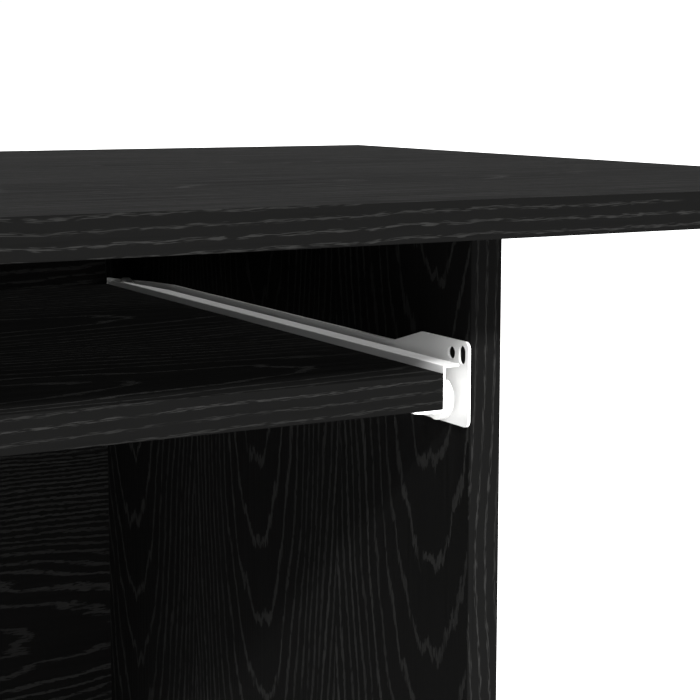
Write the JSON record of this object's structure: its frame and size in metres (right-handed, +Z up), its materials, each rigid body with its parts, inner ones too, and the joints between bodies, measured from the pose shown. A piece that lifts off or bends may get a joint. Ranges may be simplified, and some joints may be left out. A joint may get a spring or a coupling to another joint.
{
  "type": "computer desk with keyboard tray",
  "caption": "Desk with a wide overhanging top, inset side panels, a back panel and a keyboard tray that pulls out on white roller slides.",
  "frame": {"origin": "on the floor, under the middle of the desktop", "axes": "+X across the desk to the sitter's right, -Y towards the sitter, +Z up"},
  "size_m": [1.1, 0.53, 0.75],
  "materials": {
    "oak_face": "black oak melamine, satin, fine grain",
    "oak_edge": "black oak edge banding with pale grain lines, satin",
    "white_steel": "white epoxy coating, smooth satin",
    "nylon": "white nylon, satin",
    "zinc": "zinc plated",
    "beech": "raw beech",
    "black_plastic": "matte black plastic"
  },
  "bodies": {
    "desk_frame": {"desktop": "oak_face", "left_side_panel": "oak_face", "right_side_panel": "oak_face", "back_panel": "oak_face", "desktop_front_band": "oak_edge", "desktop_rear_band": "oak_edge", "desktop_left_band": "oak_edge", "desktop_right_band": "oak_edge", "left_side_bands": "oak_edge", "right_side_bands": "oak_edge", "back_panel_band": "oak_edge", "left_cabinet_rail": "white_steel", "right_cabinet_rail": "white_steel", "left_front_rivet": "zinc", "right_front_rivet": "zinc", "cabinet_rail_screws": "zinc", "top_cam_bolts": "zinc", "top_cams": "zinc", "back_cam_bolts": "zinc", "back_cams": "zinc", "glide_nails": "zinc", "top_dowels": "beech", "back_dowels": "beech", "side_cam_caps": "black_plastic", "back_cam_caps": "black_plastic", "foot_glides": "black_plastic"},
    "tray": {"keyboard_tray": "oak_face", "tray_front_band": "oak_edge", "tray_rear_band": "oak_edge", "left_tray_rail": "white_steel", "right_tray_rail": "white_steel", "left_rear_rivet": "zinc", "right_rear_rivet": "zinc", "tray_rail_screws": "zinc"},
    "front_roller_left": {"left_front_roller": "nylon"},
    "front_roller_right": {"right_front_roller": "nylon"},
    "rear_roller_left": {"left_rear_roller": "nylon"},
    "rear_roller_right": {"right_rear_roller": "nylon"}
  },
  "joints": [
    {"name": "tray_slide", "type": "slide", "parent": "desk_frame", "child": "tray", "axis": [0, -1, 0], "range_m": [0, 0.28]},
    {"name": "front_roller_left_spin", "type": "hinge", "parent": "desk_frame", "child": "front_roller_left", "pos_m": [-0.32935, -0.1894, 0.662], "axis": [1, 0, 0], "continuous": true},
    {"name": "rear_roller_left_spin", "type": "hinge", "parent": "tray", "child": "rear_roller_left", "pos_m": [-0.33035, 0.1548, 0.6696], "axis": [1, 0, 0], "continuous": true},
    {"name": "front_roller_right_spin", "type": "hinge", "parent": "desk_frame", "child": "front_roller_right", "pos_m": [0.32935, -0.1894, 0.662], "axis": [1, 0, 0], "continuous": true},
    {"name": "rear_roller_right_spin", "type": "hinge", "parent": "tray", "child": "rear_roller_right", "pos_m": [0.33035, 0.1548, 0.6696], "axis": [1, 0, 0], "continuous": true}
  ],
  "couplings": [
    {"joint": "front_roller_left_spin", "follows": "tray_slide", "rad_per_m": 107.53},
    {"joint": "rear_roller_left_spin", "follows": "tray_slide", "rad_per_m": 107.53},
    {"joint": "front_roller_right_spin", "follows": "tray_slide", "rad_per_m": 107.53},
    {"joint": "rear_roller_right_spin", "follows": "tray_slide", "rad_per_m": 107.53}
  ]
}
